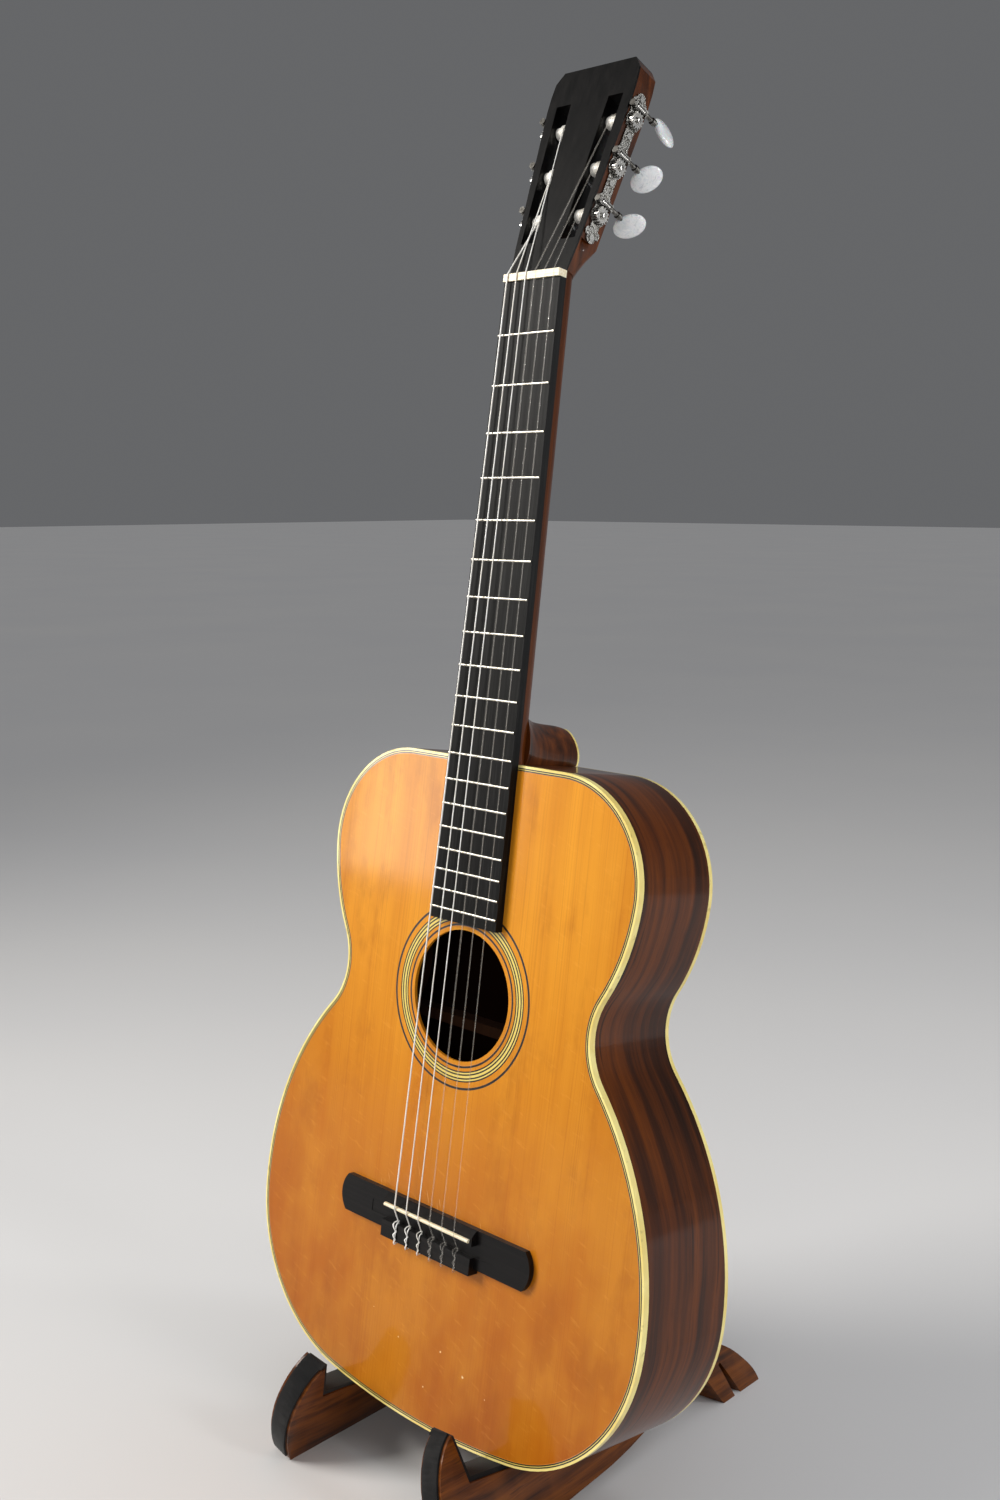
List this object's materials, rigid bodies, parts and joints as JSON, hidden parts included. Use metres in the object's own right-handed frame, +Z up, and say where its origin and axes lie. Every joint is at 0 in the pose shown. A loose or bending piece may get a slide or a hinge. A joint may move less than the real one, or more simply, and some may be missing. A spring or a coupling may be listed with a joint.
{
  "type": "guitar on stand",
  "caption": "Classical nylon-string guitar with slotted headstock and turning tuners, resting on a folding A-frame wooden stand lined with black rubber.",
  "frame": {"origin": "on the floor under the middle of the object's box", "axes": "+Z up, the guitar's face towards -Y, its treble side towards +X"},
  "size_m": [0.3708, 0.3321, 0.9804],
  "materials": {
    "spruce_top": "aged amber spruce under gloss lacquer",
    "rosewood": "dark brown rosewood under gloss lacquer",
    "cream_binding": "aged cream binding",
    "purfling_lines": "thin black and white lines",
    "rosette_inlay": "coloured wood mosaic rings",
    "inside_wood": "raw cedar and spruce inside the box",
    "mahogany": "red brown mahogany under gloss lacquer",
    "ebony": "black ebony, oiled",
    "black_veneer": "black headstock veneer, gloss",
    "fret_silver": "nickel silver fret wire",
    "bone": "polished bone",
    "wound_string": "silver plated winding on nylon",
    "nylon_string": "clear nylon",
    "nickel": "engraved nickel plate",
    "roller_white": "white plastic roller",
    "pearl_button": "white pearloid",
    "stand_wood": "red brown hardwood, glossy",
    "black_rubber": "matte black rubber strip",
    "hinge_brass": "brass hinge and screws"
  },
  "bodies": {
    "stand_bass": {"board_bass": "stand_wood", "pad_bass": "black_rubber", "hinge_leaf_bass": "hinge_brass", "hinge_screws_bass": "hinge_brass", "hinge_pin": "hinge_brass"},
    "stand_treble": {"board_treble": "stand_wood", "pad_treble": "black_rubber", "hinge_leaf_treble": "hinge_brass", "hinge_screws_treble": "hinge_brass"},
    "guitar": {"soundboard": "spruce_top", "back": "rosewood", "side_treble": "rosewood", "side_bass": "rosewood", "binding_front": "cream_binding", "binding_back": "cream_binding", "purfling": "purfling_lines", "rosette": "rosette_inlay", "neck_block": "inside_wood", "tail_block": "inside_wood", "kerfed_linings": "inside_wood", "top_braces": "inside_wood", "back_braces": "inside_wood", "neck": "mahogany", "heel_cap": "cream_binding", "head_veneer": "black_veneer", "fingerboard": "ebony", "frets": "fret_silver", "nut": "bone", "bridge": "ebony", "saddle": "bone", "wound_strings": "wound_string", "nylon_strings": "nylon_string", "plate_treble": "nickel", "plate_bass": "nickel", "plate_screws": "nickel"},
    "tuner_key_1": {"key_1": "nickel", "button_1": "pearl_button"},
    "tuner_roller_1": {"roller_1": "roller_white", "gear_1": "nickel"},
    "tuner_key_2": {"key_2": "nickel", "button_2": "pearl_button"},
    "tuner_roller_2": {"roller_2": "roller_white", "gear_2": "nickel"},
    "tuner_key_3": {"key_3": "nickel", "button_3": "pearl_button"},
    "tuner_roller_3": {"roller_3": "roller_white", "gear_3": "nickel"},
    "tuner_key_4": {"key_4": "nickel", "button_4": "pearl_button"},
    "tuner_roller_4": {"roller_4": "roller_white", "gear_4": "nickel"},
    "tuner_key_5": {"key_5": "nickel", "button_5": "pearl_button"},
    "tuner_roller_5": {"roller_5": "roller_white", "gear_5": "nickel"},
    "tuner_key_6": {"key_6": "nickel", "button_6": "pearl_button"},
    "tuner_roller_6": {"roller_6": "roller_white", "gear_6": "nickel"}
  },
  "joints": [
    {"name": "guitar_lift", "type": "slide", "parent": "stand_bass", "child": "guitar", "axis": [0, 0, 1], "range_m": [0, 0.25]},
    {"name": "stand_fold", "type": "hinge", "parent": "stand_bass", "child": "stand_treble", "pos_m": [0, 0, 0.2182], "axis": [0, 1, 0], "range_deg": [0, 38.9]},
    {"name": "key_turn_1", "type": "hinge", "parent": "guitar", "child": "tuner_key_1", "pos_m": [0.0345, 0.04479, 0.87989], "axis": [0, 0.9166, -0.3999], "continuous": true},
    {"name": "roller_turn_1", "type": "hinge", "parent": "guitar", "child": "tuner_roller_1", "pos_m": [0.03064, 0.04147, 0.8723], "axis": [0.9959, -0.0361, -0.0827], "continuous": true},
    {"name": "key_turn_2", "type": "hinge", "parent": "guitar", "child": "tuner_key_2", "pos_m": [0.03767, 0.05878, 0.91197], "axis": [0, 0.9166, -0.3999], "continuous": true},
    {"name": "roller_turn_2", "type": "hinge", "parent": "guitar", "child": "tuner_roller_2", "pos_m": [0.03381, 0.05547, 0.90438], "axis": [0.9959, -0.0361, -0.0827], "continuous": true},
    {"name": "key_turn_3", "type": "hinge", "parent": "guitar", "child": "tuner_key_3", "pos_m": [0.04084, 0.07278, 0.94405], "axis": [0, 0.9166, -0.3999], "continuous": true},
    {"name": "roller_turn_3", "type": "hinge", "parent": "guitar", "child": "tuner_roller_3", "pos_m": [0.03698, 0.06947, 0.93646], "axis": [0.9959, -0.0361, -0.0827], "continuous": true},
    {"name": "key_turn_4", "type": "hinge", "parent": "guitar", "child": "tuner_key_4", "pos_m": [-0.04084, 0.07278, 0.94405], "axis": [0, 0.9166, -0.3999], "continuous": true},
    {"name": "roller_turn_4", "type": "hinge", "parent": "guitar", "child": "tuner_roller_4", "pos_m": [-0.03698, 0.06947, 0.93646], "axis": [-0.9959, -0.0361, -0.0827], "continuous": true},
    {"name": "key_turn_5", "type": "hinge", "parent": "guitar", "child": "tuner_key_5", "pos_m": [-0.03767, 0.05878, 0.91197], "axis": [0, 0.9166, -0.3999], "continuous": true},
    {"name": "roller_turn_5", "type": "hinge", "parent": "guitar", "child": "tuner_roller_5", "pos_m": [-0.03381, 0.05547, 0.90438], "axis": [-0.9959, -0.0361, -0.0827], "continuous": true},
    {"name": "key_turn_6", "type": "hinge", "parent": "guitar", "child": "tuner_key_6", "pos_m": [-0.0345, 0.04479, 0.87989], "axis": [0, 0.9166, -0.3999], "continuous": true},
    {"name": "roller_turn_6", "type": "hinge", "parent": "guitar", "child": "tuner_roller_6", "pos_m": [-0.03064, 0.04147, 0.8723], "axis": [-0.9959, -0.0361, -0.0827], "continuous": true}
  ],
  "couplings": [
    {"joint": "stand_fold", "follows": "guitar_lift", "rad_per_m": 2.7157},
    {"joint": "roller_turn_1", "follows": "key_turn_1", "ratio": 0.071429},
    {"joint": "roller_turn_2", "follows": "key_turn_2", "ratio": 0.071429},
    {"joint": "roller_turn_3", "follows": "key_turn_3", "ratio": 0.071429},
    {"joint": "roller_turn_4", "follows": "key_turn_4", "ratio": 0.071429},
    {"joint": "roller_turn_5", "follows": "key_turn_5", "ratio": 0.071429},
    {"joint": "roller_turn_6", "follows": "key_turn_6", "ratio": 0.071429}
  ]
}
